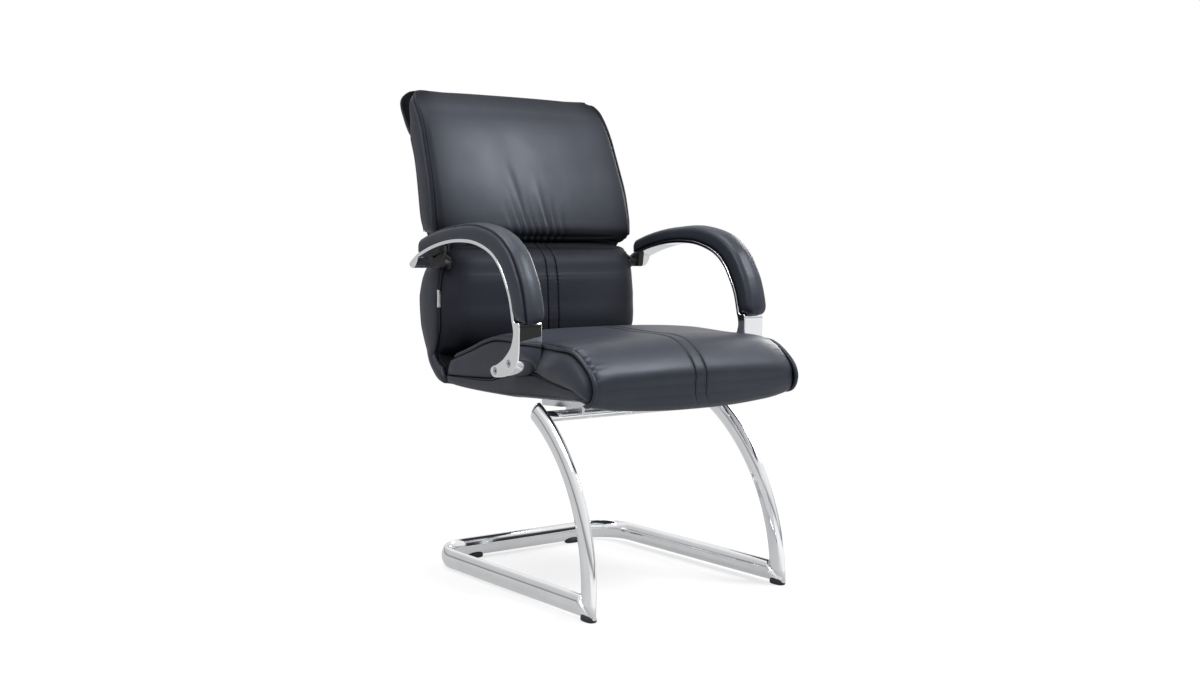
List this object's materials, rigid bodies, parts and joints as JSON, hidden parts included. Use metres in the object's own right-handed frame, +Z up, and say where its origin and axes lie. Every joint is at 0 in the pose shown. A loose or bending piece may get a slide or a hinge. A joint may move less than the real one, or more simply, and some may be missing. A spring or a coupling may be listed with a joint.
{
  "type": "office chair",
  "caption": "Cantilever visitor chair with a chromed oval tube base, a leather seat and back on one bent shell, and looped padded armrests.",
  "frame": {"origin": "on the floor, under the centre of the chair's box", "axes": "the chair faces -Y, +Z is up, +X is the sitter's left"},
  "size_m": [0.594, 0.7034, 0.9911],
  "materials": {
    "chrome": "polished chrome plate",
    "leather": "smooth dark charcoal leather with a soft sheen",
    "piping": "black leather over a round cord",
    "steel": "plain zinc-plated steel",
    "plywood": "bare bent plywood",
    "rubber": "matte black",
    "tag": "plain white woven tape, blank"
  },
  "bodies": {
    "root": {"floor_rail": "chrome", "leg_left": "chrome", "leg_right": "chrome", "leg_caps": "chrome", "front_glides": "rubber", "rear_glides": "rubber", "glide_screws": "steel", "cross_tube": "chrome", "gussets": "chrome", "seat_plate": "chrome", "plate_bolts": "steel", "plate_washers": "steel", "tee_nuts": "steel", "seat_shell": "plywood", "under_cover": "leather", "rear_cover": "leather", "seat_cushion": "leather", "lumbar_cushion": "leather", "upper_back_cushion": "leather", "top_roll": "leather", "seat_panel_left": "leather", "seat_panel_right": "leather", "seat_skirt_left": "leather", "seat_skirt_right": "leather", "lumbar_panel_left": "leather", "lumbar_panel_right": "leather", "back_band_left": "leather", "back_band_right": "leather", "seat_piping_left": "piping", "seat_piping_right": "piping", "back_piping_left": "piping", "back_piping_right": "piping", "side_tag": "tag", "seat_bracket_left": "steel", "seat_bracket_right": "steel", "back_bracket_left": "steel", "back_bracket_right": "steel", "bracket_screws": "steel", "bracket_nuts": "steel", "arm_bar_left": "chrome", "arm_bar_right": "chrome", "pad_core_left": "rubber", "pad_core_right": "rubber", "arm_pad_left": "leather", "arm_pad_right": "leather", "arm_spacers": "rubber", "arm_bolts": "steel", "pad_screws": "steel"}
  },
  "joints": []
}
